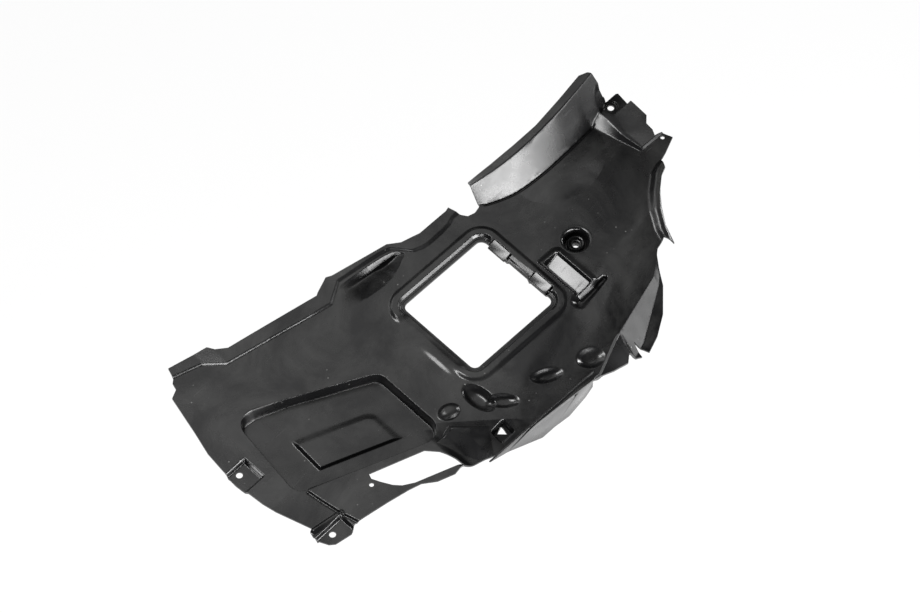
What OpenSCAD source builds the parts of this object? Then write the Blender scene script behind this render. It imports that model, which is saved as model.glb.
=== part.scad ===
// Wheel arch liner: one moulded plastic panel. Millimetres, +Z up, seen from its outer side.
// The panel is drawn on its own plan, with +X along its length, and is then moved so that
// the seat of the screw boss is the origin.

/* [Panel] */
// Length of the whole panel along X
panel_len = 679; // [600:1:750]
// Width of the whole panel along Y
panel_wid = 356; // [320:1:400]

/* [Sheet] */
// Thickness of the moulded sheet
wall = 2.5; // [1.8:0.1:3.5]
// How far the -X end droops below the flat middle
end_droop = 9; // [4:0.5:16]
// How far the sheet rolls down past the boss, towards the -Y edge
roll_fall = 13; // [6:0.5:20]

/* [Access window] */
// Opening along X
window_len = 129; // [100:1:135]
// Opening along Y
window_wid = 118; // [90:1:122]
// Corner radius of the opening
window_r = 8; // [3:0.5:14]
// Width of the ledge that the missing flap lies on
ledge = 6; // [4:0.5:9]
// Height of the raised curb round the window
curb_h = 5.5; // [3:0.5:9]
// Width of the curb, from the ledge to the sheet
curb_wid = 14; // [9:0.5:18]
// Depth of the ledge below the sheet
ledge_drop = 2; // [0.5:0.5:5]

/* [Hinge lugs] */
// Length of each lug
lug_len = 26; // [15:1:34]
// Outer radius of a lug
lug_r = 5; // [4:0.25:7]
// Radius of the groove that took the flap's hinge bar
lug_bore_r = 2.4; // [1.2:0.1:3]
// Distance between the middles of the two lugs
lug_gap = 64; // [45:1:80]

/* [Pan] */
// Depth of the large recess
pan_depth = 17; // [8:0.5:24]
// Run of its sloping wall
pan_run = 7; // [4:0.5:10]
// Corner radius of the recess
pan_r = 20; // [12:1:28]
// Height of the pad in its floor
pad_h = 6; // [2:0.5:8]

/* [Arch wall] */
// Height of the curved wall at its -X end
arch_low = 33; // [24:1:42]
// Height of the curved wall at its +X end
arch_high = 60; // [44:1:72]
// Height of the half dome in front of it
dome_h = 8; // [4:0.5:14]

/* [Screw boss] */
// Radius of the cup's mouth
cup_r = 17; // [13:0.5:21]
// Depth of the cup
cup_depth = 12; // [8:0.5:18]
// Radius of the collar in the cup
collar_r = 9.5; // [7:0.25:11]
// Height of the collar above the cup's floor
collar_h = 3; // [1.5:0.25:5]
// Radius of the boss's screw hole
boss_hole_r = 4.2; // [2.5:0.1:5]

/* [Fixing holes] */
// Radius of the holes in the tabs
tab_hole_r = 4; // [2.5:0.1:5]
// Radius of the small holes beside the lower opening and in the side wall
small_hole_r = 2.8; // [1.5:0.1:4]
// Depth of the tabs' seats below the sheet
tab_drop = 6; // [3:0.5:9]
// Height of the raised plate at the +X end
plate_h = 10; // [5:0.5:14]

/* [Side wall] */
// Depth of the flat wall under the -Y edge
side_depth = 54; // [35:1:70]

/* [Hidden] */

plastic = [0.07, 0.07, 0.075];
tall = 4 * (arch_high + cup_depth);
round_fn = 48;

// The plan below is drawn for this size of panel; its places then move in step with the real size
drawn_size = [679, 356];
grow = [panel_len / drawn_size.x, panel_wid / drawn_size.y];

// Places on the plan
boss_at = [194, -61];
window_mid = [53.5, -41];
window_size = [window_len, window_wid];
half_window = [window_size.x / grow.x, window_size.y / grow.y] / 2;
half_ledge = half_window + [ledge, ledge];
half_curb = half_ledge + [curb_wid, curb_wid];
window_east = window_mid.x * grow.x + window_size.x / 2 + ledge;
tab_holes = [[-291, -3], [-269.5, -132], [353, 37]];
east_hole = [367, -34];
opening_hole = [-197.5, -121.5];
side_hole = [56, -20];

// Each of the outer fixing holes has a flat seat, which blends into the sheet over a short run;
// the third one's seat is shorter on its +Y side, where the arch wall's foot is near
seats = concat(tab_holes, [east_hole]);
seat_half = 9.4;
seat_north = [9.4, 9.4, 5.6, 9.4];
seat_run = 4;

// Corners of the large recess and of the pad in its floor, anticlockwise
pan_corners = [[-265, -70], [-90, -139], [-90, -25], [-246, 54]];
pad_corners = [[-222, -61], [-122, -101], [-122, -48], [-219, -8]];

// Edge of the panel, in stretches that run clockwise from the -X end of the +Y side
flange_edge = [[-257, 149.5], [-208, 137], [-203, 128.5], [-191, 119.5], [-72.5, 96],
  [-68.5, 98], [-48, 106], [-41, 103], [33, 88.5], [47, 78], [70.5, 71.5], [113, 71.5], [118.5, 73],
  [123.5, 57]];
notch_edge = [[128, 50], [137, 47.5], [147.5, 50]];
arch_edge = [[146, 67.5], [180, 64], [216, 62], [253, 61], [296, 65], [331, 69.5], [341, 65.5],
  [348, 54], [350, 48]];
plate_edge = [[356, 46], [371, 46.5], [373, 44.5], [370.5, 27], [373, 23], [373, -2], [365, -9.5],
  [364.5, -20], [361, -27], [371, -29], [376, -42], [355, -51], [342, -55.5]];
east_edge = [[337, -67], [326, -72], [311, -84], [296, -101], [284, -119], [277, -140], [272, -128],
  [258, -131.5], [251, -137], [243, -148], [233, -165], [210.5, -187], [188, -200], [168, -206.5],
  [158, -190], [156.5, -206], [141, -199.5], [133, -206], [110, -205], [91, -202]];
side_edge = [[-54, -197], [-78, -185], [-105, -176.5], [-121, -179]];
south_edge = [[-142, -171.5], [-157, -160.5], [-172, -156], [-200, -150], [-233, -144],
  [-244, -142.5], [-254, -147], [-275, -143], [-281, -138], [-289, -121], [-287, -114],
  [-282.5, -112]];
west_edge = [[-296, -68], [-299.5, -50], [-303, -10], [-302, 12], [-299, 40], [-291, 70],
  [-279, 120], [-268, 125], [-265.5, 133.5], [-261, 137]];
panel_edge = concat(flange_edge, notch_edge, arch_edge, plate_edge, east_edge, side_edge,
  south_edge, west_edge);

// Edge of the lower opening, beside the recess
lower_opening = [[-190, -109.5], [-192.5, -116], [-188, -126], [-181, -139], [-174, -147],
  [-161, -155], [-104, -176], [-106, -164], [-114, -146], [-125, -133]];
// Small three-cornered opening near the side wall
drain_opening = [[-48, -173], [-38, -169], [-40, -181]];
// Outlines of the scoop beside the flange and of the recess round the drain opening
scoop_edge = [[-49, 90], [-9, 86], [29, 79], [39, 71], [40, 62], [28, 54], [9, 50], [-44, 54]];
drain_half = [12, 11];

// Lines across the plan, as [x, y], that the folds of the sheet follow
row_south = [[-330, -163.5], [-255, -158.5], [-130, -192], [-60, -216], [100, -222], [170, -218],
  [290, -154], [380, -90]];
row_lower = [[-330, -45], [-265, -70], [-90, -139], [-31, -120], [138, -120], [200, -118],
  [290, -96], [380, -48]];
row_upper = [[-330, 92], [-246, 54], [-90, -25], [-31, 38], [138, 38], [165, 12], [250, 2],
  [330, 14], [380, 20]];
fold_line = [[-330, 155], [-260, 136.5], [-226, 125], [-205, 105], [-67, 75], [-48, 76], [0, 66],
  [57, 56], [125, 57], [149, 51], [175, 39], [201, 32], [243, 28], [285, 32], [327, 36.5],
  [350, 42.7], [380, 50]];
fold_step = 10;
fold_run = [[-330, 3], [140, 3], [149, 9], [178, 18], [251, 24], [290, 22], [345, 16], [380, 8]];
row_north = [[-330, 172], [-200, 158], [-64, 116], [60, 98], [130, 86], [150, 72], [250, 64],
  [340, 76], [380, 76]];
// Where the sheet bends down towards the -Y edge, and where the steep wall past it starts
crest_line = [[-330, -260], [-60, -168], [40, -132], [120, -118], [200, -96], [292, -85], [380, -70]];
east_fold = [[83, -200], [90, -200], [136, -180], [151, -176], [229, -153], [252, -137],
  [280, -125]];
// Middle of the raised border along the slanting edge below the plate
east_line = [[340, -60], [326, -68], [306, -84], [291, -100], [279, -120], [270, -142]];

// Fractions of the way between those lines at which the mesh has a row
south_rows = [0, 0.1, 0.21, 0.36, 0.49, 0.62, 0.76, 0.88];
middle_rows = [0, 0.03, 0.065, 0.11, 0.16, 0.21, 0.24, 0.37, 0.47, 0.615, 0.645, 0.72, 0.81,
  0.89, 0.935, 0.97];
north_rows = [0, 0.2, 0.4, 0.6, 0.8];
fold_rows = [0, 0.33, 0.67];
edge_rows = [0, 0.3, 0.6, 1];

// Columns of the mesh, close together at the walls
mesh_columns = concat([-330, -312, -300, -290, -284, -277, -268, -260, -255.5, -251.5, -248,
  -244, -234, -223, -218.5, -208, -197, -186, -174, -162, -150, -138, -126.5, -122, -110, -99, -94.5,
  -90, -81, -70, -59, -48, -38, -31, -27, -23, -17, -11], [for (x = [-2:10.5:117]) x],
  [119, 124, 130, 135, 141, 149, 157, 165, 174, 184, 195, 206], [for (x = [217:10.6:325]) x],
  [329, 334, 344.5, 351.5, 352.5, 360, 367, 373, 380]);

// Lean of the columns, so that one follows the sloping -X wall of the large recess
column_lean = [[-305, 0], [-262, 0.156], [-248, 0.156], [-140, 0]];
lean_mid = -9;

// Small formed shapes: [middle, half length, half width, turn in degrees, height]
dents = [
  [[-33.5, -129], 25, 14, -85, -10],
  [[-17, -151], 19, 9, -45, -7],
  [[43, -162.5], 20, 9, -27, -7],
  [[97, -180], 17, 12, -20, -7],
  [[-71, -118], 14, 10, -15, 7]];

// Faceted block between the lower opening and the drain: each stretch of its foot, anticlockwise,
// as [start, slope of the facet that rises from it]
block_foot = [[[-108, -136], 0.55], [[-86, -180], 0.5], [[-70, -190], 0.45], [[-51, -162], 1.5],
  [[-83, -130], 1.5]];
block_h = 8;

function mix(a, b, t) = a + (b - a) * t;
function clip(t) = min(1, max(0, t));
function ease(t) = let (c = clip(t)) c * c * (3 - 2 * c);
function unit(v) = v / norm(v);
function total(v) = v * [for (i = v) 1];

// Distance to a straight stretch, and signed distance to a closed outline, minus inside
function off_stretch(p, a, b) = let (v = b - a) norm(p - a - clip((p - a) * v / (v * v)) * v);
function passes(p, a, b) = (a.y > p.y) != (b.y > p.y)
  && p.x < (b.x - a.x) * (p.y - a.y) / (b.y - a.y) + a.x ? 1 : 0;
function off_edge(p, pts) = let (n = len(pts), far = min([for (i = [0:n - 1])
  off_stretch(p, pts[i], pts[(i + 1) % n])]), hits = total([for (i = [0:n - 1])
  passes(p, pts[i], pts[(i + 1) % n])])) hits % 2 == 1 ? -far : far;

// Distance to an open line of stretches
function off_path(p, pts) = min([for (i = [0:len(pts) - 2]) off_stretch(p, pts[i], pts[i + 1])]);

// Outline moved inwards by r; a distance r outside it has corners of radius r
function shrink(pts, r) = let (n = len(pts)) [for (i = [0:n - 1]) let (u = unit(pts[i] - pts[(i + n - 1) % n]),
  v = unit(pts[(i + 1) % n] - pts[i]), a = [-u.y, u.x], b = [-v.y, v.x]) pts[i] + r * (a + b) / (1 + a * b)];

// Signed distance to a rectangle with round corners
function off_box(p, mid, half, r) = let (q = [abs(p.x - mid.x) - half.x + r, abs(p.y - mid.y) - half.y + r])
  norm([max(q.x, 0), max(q.y, 0)]) + min(max(q.x, q.y), 0) - r;

pan_core = shrink(pan_corners, pan_r);
pad_core = shrink(pad_corners, 4);

// Height of each form above the flat middle of the sheet
function droop(x) = -end_droop * pow(max(0, -40 - x) / 274, 2) - 3 * pow(max(0, x - 240) / 128, 2);
function soft_ramp(d, r) = d < 0 ? 0 : d < r ? d * d / (2 * r) : d - r / 2;
function roll(p) = let (d = (p - [320, -70]) * [0.406, -0.914],
  slope = lookup(p.x, [[-60, 0], [0, 0.0054], [150, 0.0115], [290, 0.0185]]))
  -roll_fall * (slope * soft_ramp(lookup(p.x, crest_line) - p.y, 14) + 0.385 * pow(max(0, d) / 48, 1.5));
function south_bend(p) = let (d = (p - [-80, -125]) * [-0.66, -0.751]) -0.34 * max(0, d - 2) * ease((-p.x - 0) / 40)
  * ease((p.x + 112) / 20);
function pan(p) = let (d = off_edge(p, pan_core) - pan_r) d > 0 ? 0 : -pan_depth * ease(-d / pan_run)
  + pad_h * ease(-(off_edge(p, pad_core) - 4) / 3.5);
function curb_here(p) = curb_h * mix(1, 0.45, ease((p.x - 40) / 70) * ease((-p.y - 60) / 50))
  * mix(1, 0.3, ease((-20 - p.x) / 14) * ease((p.y + 88) / 30));
function curb(p) = let (h = curb_here(p))
  h * ease(-off_box(p, window_mid, half_curb, window_r + ledge + curb_wid) / 5)
  - (h + ledge_drop) * ease(-off_box(p, window_mid, half_ledge, window_r + ledge) / 2.5 + 0.5);
function scoop(p) = -12 * ease(-off_edge(p, scoop_edge) / 5) * clip((44 - p.x) / 30)
  * mix(0.35, 1, clip((p.x + 50) / 50));
function pocket(p) = -11 * clip((167 - p.x) / 24) * ease((p.x - 141) / 3)
  * ease(-off_box(p, [153, -85], [15, 27], 4) / 3);
function dart(p) = let (wide = mix(11, 4, clip((p.x - 138) / 46)))
  -6 * ease(1.15 * (1 - off_stretch(p, [139, -121], [184, -118]) / wide));
function flange(p) = let (d = p.y - lookup(p.x, fold_line)) p.x > 138 ? 0
  : ease(d / lookup(p.x, fold_run)) * 3 * (1 - ease((p.x + 72) / 12) * ease((50 - p.x) / 12)) + 0.1 * max(0, d);
function arch_h(x) = mix(arch_low, arch_high,
  lookup(x, [[149, 0], [201, 0.3], [243, 0.44], [285, 0.59], [327, 0.89], [350, 1]]));
function up_wall(p) = clip((p.y - lookup(p.x, fold_line)) / lookup(p.x, fold_run));
function arch(p) = p.x <= 138 || p.x > 352 ? 0 : arch_h(p.x) * up_wall(p);
function dome(p) = let (q = norm([(p.x - 255) / 63, (p.y - 27) / 48])) q > 1 ? 0
  : dome_h * (1 - q * q) * (1 - up_wall(p));
function plate(p) = let (d = p.x - lookup(p.y, [[-29, 334], [-17, 331], [31, 318.5], [45, 315]]))
  lookup(p.y, [[-31, 0], [-28, 0.35 * plate_h], [24, plate_h]])
  * ease(d / lookup(p.y, [[-29, 3], [31, 7]])) * ease((p.x - 310) / 4) * (1 - up_wall(p))
  - 0.8 * plate_h * ease(-off_box(p, [357, 39], [22, 15.5], 9) / 2.5);
function east_flange(p) = p.x < 262 || p.y > -52 ? 0 : 7 * ease((12 - off_path(p, east_line)) / 11)
  * ease((p.x - 262) / 12) * ease((-52 - p.y) / 10);
function east_wall(p) = let (d = lookup(p.x, east_fold) - p.y) p.x < 78 ? 0
  : -lookup(p.x, [[78, 5], [90, 8], [143, 12], [149, 27], [170, 27], [229, 9], [256, 0]])
  * clip(d / lookup(p.x, [[78, 22], [143, 24], [149, 26], [170, 25], [229, 9], [256, 6]]));
function tab_seats(p) = -tab_drop * ease(-off_box(p, [-299, -10], [25, 16.5], 3) / 3)
  - tab_drop * ease((-123 - p.y) / 3) * ease((-247 - p.x) / 3)
  + 3 * ease(1 - off_stretch(p, [-283, -116], [-246, -122]) / 4);
function drain_cup(p) = -5 * ease(-off_box(p, [-41, -175], drain_half, 3) / 4);
function dent(p, d) = let (v = p - d[0], c = cos(d[3]), s = sin(d[3]),
  q = norm([(v.x * c + v.y * s) / d[1], (v.y * c - v.x * s) / d[2]])) q > 1 ? 0 : d[4] * ease(1 - q * q);
function block(p) = max(0, min(block_h, min([for (i = [0:len(block_foot) - 1]) let (a = block_foot[i][0],
  v = unit(block_foot[(i + 1) % len(block_foot)][0] - a)) block_foot[i][1] * ((p - a) * [-v.y, v.x])])));
function shape(p) = droop(p.x) + roll(p) + south_bend(p) + pan(p) + curb(p) + scoop(p) + pocket(p) + dart(p)
  + flange(p) + arch(p) + dome(p) + plate(p) + east_flange(p) + east_wall(p) + tab_seats(p) + drain_cup(p) + block(p)
  + total([for (d = dents) dent(p, d)]);
seat_heights = [for (at = seats) shape(at)];
function off_seat(p, i) = let (v = p - seats[i])
  max(abs(v.x) - seat_half, -v.y - seat_half, v.y - seat_north[i]);
function form(p) = let (near = [for (i = [0:len(seats) - 1]) if (off_seat(p, i) < seat_run) i])
  len(near) == 0 ? shape(p)
  : mix(seat_heights[near[0]], shape(p), ease(off_seat(p, near[0]) / seat_run));

// Height of the underside: the wall is measured square to the slope, so it is taller where the sheet is steep
function under(p) = let (e = 1.2, z = form(p), gx = (form(p + [e, 0]) - z) / e, gy = (form(p + [0, e]) - z) / e)
  z - wall * min(norm([gx, gy, 1]), 5);

// Where column x meets a row that lies the fraction t of the way from line a to line b
function on_mesh(x, a, b, t) = let (y0 = mix(lookup(x, a), lookup(x, b), t),
  x1 = x + lookup(x, column_lean) * (y0 - lean_mid)) [x1, mix(lookup(x1, a), lookup(x1, b), t)];
fold_full = [for (x = [fold_line[0].x:fold_step:fold_line[len(fold_line) - 1].x])
  [x, lookup(x, fold_line) + lookup(x, fold_run)]];
mesh_rows = concat(
  [for (t = south_rows) [for (x = mesh_columns) on_mesh(x, row_south, row_lower, t)]],
  [for (t = middle_rows) [for (x = mesh_columns) on_mesh(x, row_lower, row_upper, t)]],
  [for (t = north_rows) [for (x = mesh_columns) on_mesh(x, row_upper, fold_line, t)]],
  [for (t = fold_rows) [for (x = mesh_columns) on_mesh(x, fold_line, fold_full, t)]],
  [for (t = edge_rows) [for (x = mesh_columns) on_mesh(x, fold_full, row_north, t)]]);

// The whole sheet before its edge is trimmed: a closed mesh of an upper and a lower face
module formed_sheet() {
  plan = [for (row = mesh_rows, p = row) p];
  n = len(plan);
  m = len(mesh_columns);
  last = len(mesh_rows) - 1;
  upper = [for (p = plan) [p.x * grow.x, p.y * grow.y, form(p)]];
  lower = [for (p = plan) [p.x * grow.x, p.y * grow.y, under(p)]];
  rim = concat([for (i = [0:m - 1]) i], [for (j = [1:last]) j * m + m - 1],
    [for (i = [m - 2:-1:0]) last * m + i], [for (j = [last - 1:-1:1]) j * m]);
  k = len(rim);
  cells = [for (j = [0:last - 1], i = [0:m - 2]) j * m + i];
  polyhedron(concat(upper, lower), concat(
    [for (a = cells) [a, a + m, a + m + 1]], [for (a = cells) [a, a + m + 1, a + 1]],
    [for (a = cells) [n + a, n + a + m + 1, n + a + m]], [for (a = cells) [n + a, n + a + 1, n + a + m + 1]],
    [for (i = [0:k - 1]) let (a = rim[i], b = rim[(i + 1) % k]) [a, b, n + b]],
    [for (i = [0:k - 1]) let (a = rim[i], b = rim[(i + 1) % k]) [a, n + b, n + a]]), convexity = 12);
}

// Flat rectangle with true round corners
module round_box(half, r) {
  square([2 * half.x, 2 * (half.y - r)], center = true);
  square([2 * (half.x - r), 2 * half.y], center = true);
  for (sx = [-1, 1], sy = [-1, 1]) translate([sx * (half.x - r), sy * (half.y - r)]) circle(r = r, $fn = round_fn);
}

module through() {
  translate([0, 0, -tall / 2]) linear_extrude(tall) children();
}

// Moves its children to a place on the plan
module place(at) {
  translate([at.x * grow.x, at.y * grow.y]) children();
}

module hole(at, r) {
  place(at) translate([0, 0, -tall / 2]) cylinder(h = tall, r = r, $fn = round_fn);
}

// Cup of the screw boss, turned about the screw's axis
module screw_cup() {
  floor_z = -cup_depth;
  place(boss_at) rotate_extrude($fn = 72)
    polygon([[boss_hole_r, floor_z - wall - 4], [boss_hole_r + wall, floor_z - wall - 4],
      [boss_hole_r + wall, floor_z - wall], [cup_r - 3, floor_z - wall], [cup_r, floor_z + 1.5],
      [cup_r + wall, -wall - 1], [cup_r + wall, 0.4], [cup_r, 0.4], [cup_r - wall, floor_z],
      [collar_r + 1.5, floor_z], [collar_r, floor_z + collar_h], [collar_r - 2, floor_z + collar_h],
      [collar_r - 2.5, floor_z + 0.5], [boss_hole_r, floor_z + 0.5]]);
}

// One of the two lugs that held the flap: a bar along Y with an open groove, on a foot from the ledge
module hinge_lug(y) {
  axis_x = window_east - lug_r + 1;
  axis_z = 1;
  translate([axis_x, y + lug_len / 2, axis_z]) rotate([90, 0, 0]) linear_extrude(lug_len)
    difference() {
      union() {
        circle(r = lug_r, $fn = round_fn);
        translate([0, -lug_r]) square([lug_r + 2, 2 * lug_r]);
      }
      circle(r = lug_bore_r, $fn = round_fn);
      translate([-lug_r - 1, -lug_bore_r * 0.8]) square([lug_r + 1, lug_bore_r * 1.6]);
    }
}

// Flat wall that hangs from the straight part of the -Y edge, with one small hole
module side_wall() {
  top_z = -1.2;
  translate([0, side_edge[0].y * grow.y + wall, 0]) rotate([90, 0, 0]) linear_extrude(wall)
    difference() {
      scale([grow.x, 1]) polygon([[-84, top_z], [-55, -0.26 * side_depth], [2, -side_depth], [22, -side_depth],
        [46, -1.1 * side_depth], [72, -0.9 * side_depth], [84, -0.7 * side_depth], [84, top_z]]);
      translate([side_hole.x * grow.x, side_hole.y]) circle(r = small_hole_r, $fn = round_fn);
    }
}

module liner_panel() {
  color(plastic) translate([-boss_at.x * grow.x, -boss_at.y * grow.y, cup_depth]) difference() {
    union() {
      difference() {
        intersection() {
          formed_sheet();
          through() scale(grow) polygon(panel_edge);
        }
        through() place(window_mid) round_box(window_size / 2, window_r);
        through() scale(grow) polygon(lower_opening);
        through() scale(grow) polygon(drain_opening);
        hole(boss_at, cup_r + wall / 2);
      }
      screw_cup();
      for (s = [-1, 1]) hinge_lug(window_mid.y * grow.y + s * lug_gap / 2);
      side_wall();
    }
    for (at = tab_holes) hole(at, tab_hole_r);
    hole(east_hole, tab_hole_r * 0.65);
    hole(opening_hole, small_hole_r);
  }
}

liner_panel();
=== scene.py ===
"""Wheel arch liner: a moulded black plastic panel, its finish and its studio."""

import math

import bmesh
import bpy
import numpy as np
from mathutils import Matrix, Vector


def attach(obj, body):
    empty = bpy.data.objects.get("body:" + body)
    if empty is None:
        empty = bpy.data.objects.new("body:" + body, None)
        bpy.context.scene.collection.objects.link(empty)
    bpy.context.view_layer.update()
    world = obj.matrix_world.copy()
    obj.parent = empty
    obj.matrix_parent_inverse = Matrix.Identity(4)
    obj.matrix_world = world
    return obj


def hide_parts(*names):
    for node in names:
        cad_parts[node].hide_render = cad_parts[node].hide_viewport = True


bl_info = {
    "name": "Wheel Arch Liner",
    "version": (1, 0, 0),
    "blender": (4, 5, 0),
    "location": "3D View > Sidebar > Liner",
    "description": "Builds a moulded wheel arch liner, its satin black finish and a studio round it",
    "category": "Add Mesh",
}

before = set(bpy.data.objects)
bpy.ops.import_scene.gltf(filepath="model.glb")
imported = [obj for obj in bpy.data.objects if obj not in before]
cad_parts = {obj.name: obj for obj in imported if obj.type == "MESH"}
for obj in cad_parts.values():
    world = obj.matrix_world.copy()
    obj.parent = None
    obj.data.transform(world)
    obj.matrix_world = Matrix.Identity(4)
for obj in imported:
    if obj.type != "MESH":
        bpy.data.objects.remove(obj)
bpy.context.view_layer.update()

# The plan that the panel is drawn on, in millimetres, and where its origin lies in the frame
MM = 0.001
BOSS_AT = (194.0, -61.0)
CUP_DEPTH = 12.0
PLAN_ORIGIN = Vector((-BOSS_AT[0], -BOSS_AT[1], CUP_DEPTH)) * MM

# The photograph's view: 1.15 mm to a pixel, with this pixel on the plan's origin
PICTURE = (920, 613)
MM_PER_PIXEL = 1.15
ORIGIN_PIXEL = (420.0, 310.0)
VIEW_AZIMUTH = math.radians(-45.0)
VIEW_ELEVATION = math.radians(60.0)
SENSOR = 36.0
LENS = 200.0

# Edge of the panel, clockwise from the -X end of the +Y side
FLANGE_EDGE = [(-257, 149.5), (-208, 137), (-203, 128.5), (-191, 119.5), (-72.5, 96), (-68.5, 98),
               (-48, 106), (-41, 103), (33, 88.5), (47, 78), (70.5, 71.5), (113, 71.5), (118.5, 73),
               (123.5, 57)]
NOTCH_EDGE = [(128, 50), (137, 47.5), (147.5, 50)]
ARCH_EDGE = [(149.5, 71.5), (182, 67.5), (217, 65), (253, 63.5), (296, 66.5), (331, 70), (341, 65.5),
             (348, 54), (350, 48)]
PLATE_EDGE = [(356, 46), (371, 46.5), (373, 44.5), (370.5, 27), (373, 23), (373, -2), (365, -9.5),
              (364.5, -20), (361, -27), (371, -29), (376, -42), (355, -51), (342, -55.5)]
EAST_EDGE = [(337, -67), (326, -72), (311, -84), (296, -101), (284, -119), (277, -140), (272, -128),
             (258, -131.5), (251, -137), (243, -148), (233, -165), (210.5, -187), (188, -200),
             (168, -206.5), (158, -190), (156.5, -206), (141, -199.5), (133, -206), (110, -205), (91, -202)]
SIDE_EDGE = [(-54, -197), (-78, -185), (-105, -176.5), (-121, -179)]
SOUTH_EDGE = [(-142, -171.5), (-157, -160.5), (-172, -156), (-200, -150), (-233, -144), (-244, -142.5),
              (-254, -147), (-275, -143), (-281, -138), (-289, -121), (-287, -114), (-282.5, -112)]
WEST_EDGE = [(-296, -68), (-299.5, -50), (-303, -10), (-302, 12), (-299, 40), (-291, 70), (-279, 120),
             (-268, 125), (-265.5, 133.5), (-261, 137)]
PANEL_EDGE = (FLANGE_EDGE + NOTCH_EDGE + ARCH_EDGE + PLATE_EDGE + EAST_EDGE + SIDE_EDGE + SOUTH_EDGE
              + WEST_EDGE)

LOWER_OPENING = [(-190, -109.5), (-192.5, -116), (-188, -126), (-181, -139), (-174, -147), (-161, -155),
                 (-104, -176), (-106, -164), (-114, -146), (-125, -133)]
DRAIN_OPENING = [(-48, -173), (-38, -169), (-40, -181)]

WINDOW_MID = (53.5, -41.0)
HALF_WINDOW = (64.5, 59.0)
WINDOW_R = 8.0
WINDOW = (WINDOW_MID, HALF_WINDOW, WINDOW_R)
# Distances outside the opening's edge: the ledge's lip, the curb's inner wall and its foot
LIP_AT = 3.3
WALL_AT = 6.8
FOOT_AT = 20.0
# The curb's height above the sheet, and how far the ledge lies below it
CURB_HEIGHT = 2.9
LEDGE_DROP = 1.2

PAN_CORNERS = [(-265, -70), (-90, -139), (-90, -25), (-249, 57)]
PAD_CORNERS = [(-222, -61), (-122, -101), (-122, -48), (-219, -8)]
# How far each side of the pad slopes, in the order of its corners from the -Y side
PAD_RUNS = (3.0, 17.0, 14.0, 4.6)
PAN_R = 20.0
PAN_DEPTH = 15.0
PAN_RUN = 3.6
PAD_HEIGHT = 3.5

# The hollow beside the flange: its upper edge, and the crease at its other side
SCOOP_TOP = [(-72, 80), (-58, 84), (-40, 89), (-3, 84.5), (20, 81), (32.5, 77.5), (38.5, 71.5), (42, 65)]
SCOOP_CREASE = [(-72, 66), (-48, 57), (-32, 53.6), (-6.4, 51.3), (10, 52.6), (25, 58), (33, 62), (42, 65)]
# Slopes of the hollow's wall and floor along X
SCOOP_WALL = [(-72, 0.2), (-40, 0.5), (0, 1.35), (20, 1.4), (42, 1.4)]
SCOOP_FLOOR = [(-72, 0.14), (-40, 0.2), (0, 0.35), (20, 0.6), (42, 0.6)]

# Foot of the flange's step, how far the step runs from there, its height, and where the flange ends
FOLD_LINE = [(-330, 155), (-260, 136.5), (-226, 125), (-205, 105), (-67, 75), (-58, 80.5), (-40, 91),
             (-3, 86.5), (20, 83), (32.5, 79.5), (40.5, 70.5), (49.5, 58.8), (60, 54.5), (70, 53),
             (92, 53.5), (105, 55), (113, 58.5), (125, 58.5), (149, 51)]
FOLD_RUN = [(-330, 3.1), (-95, 3.1), (-65, 5), (140, 5)]
STEP_HEIGHT = 2.4
FLANGE_END = 138
# The arch wall's foot, run and height, as places that smooth curves are fitted to, and its ends
ARCH_FOOT = [(149, 51), (176, 39), (208, 31), (243, 28.5), (285, 31), (320, 35.5), (352, 43)]
ARCH_RUN = [(149, 16), (200, 24), (251, 27), (300, 24), (352, 20)]
ARCH_HEIGHT = [(149, 25), (201, 35), (243, 41), (285, 48), (327, 57), (352, 61)]
ARCH_START = 140
ARCH_END = 352
# Spacing of the sheet's grid before it is refined
CELL = 3.0

# Small formed shapes: middle, half length, half width, turn in degrees, height
DENTS = [((-33.5, -129), 25, 14, -85, -8.5), ((-17, -151), 21, 10, -45, -5),
         ((43, -162.5), 21, 10, -27, -5), ((97, -180), 19, 14, -20, -6), ((-71, -118), 15, 11, -15, 5.5)]
# The faceted block's foot, anticlockwise, and the slope of the facet that rises from each stretch
BLOCK_FOOT = [((-108, -136), 0.55), ((-86, -180), 0.5), ((-70, -190), 0.45), ((-51, -162), 1.5),
              ((-83, -130), 1.5)]
BLOCK_HEIGHT = 10.0
# Sunk boxes with round corners, as middle, half sizes and corner radius
POCKET = ((154, -86), (13, 29), 4)
PLATE_SEAT = ((357, 39), (22, 15.5), 9)
TAB_SEAT = ((-299, -10), (26, 17.5), 3)
DRAIN_CUP = ((-43.5, -177), (11, 10), 3)
# The dart's crease, the ridge beside the corner tab and the shallow line across the -X end
DART = ((139, -121), (182, -119))
RIDGE = ((-283, -116), (-246, -122))
END_GROOVE = [(-254, -78), (-251, -100), (-247, -122), (-241, -144)]
# The turned-up border of the +X side
RAISED_BORDER = [(340, -60), (326, -68), (306, -84), (291, -100), (279, -120), (270, -142)]

# Middles of the two hinge lugs on the window's +X side
LUG_MIDDLES = [(122.8, -73.5), (119.8, -9.3)]
LUG_HALF = (5.6, 13)

# Fixing holes: the tabs' three, the outermost tab's and the one beside the lower opening
TAB_HOLES = [(-291, -3), (-269.5, -132), (353, 37)]
EAST_HOLE = (367, -34)
OPENING_HOLE = (-197.5, -121.5)

# Where the web bends down towards the -Y edge, and where the steep wall past it starts
CREST_LINE = [(-330, -260), (-60, -168), (40, -132), (120, -118), (200, -96), (292, -85), (380, -70)]
EAST_FOLD = [(83, -200), (90, -200), (136, -180), (151, -176), (229, -153), (252, -137), (280, -125)]


def ease(t):
    """0 to 1 with a level start and end."""
    c = np.clip(t, 0.0, 1.0)
    return c * c * (3.0 - 2.0 * c)


def mix(a, b, t):
    return a + (b - a) * t


def follow(x, line):
    """The y of a line across the plan at x."""
    return np.interp(x, [p[0] for p in line], [p[1] for p in line])


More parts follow.
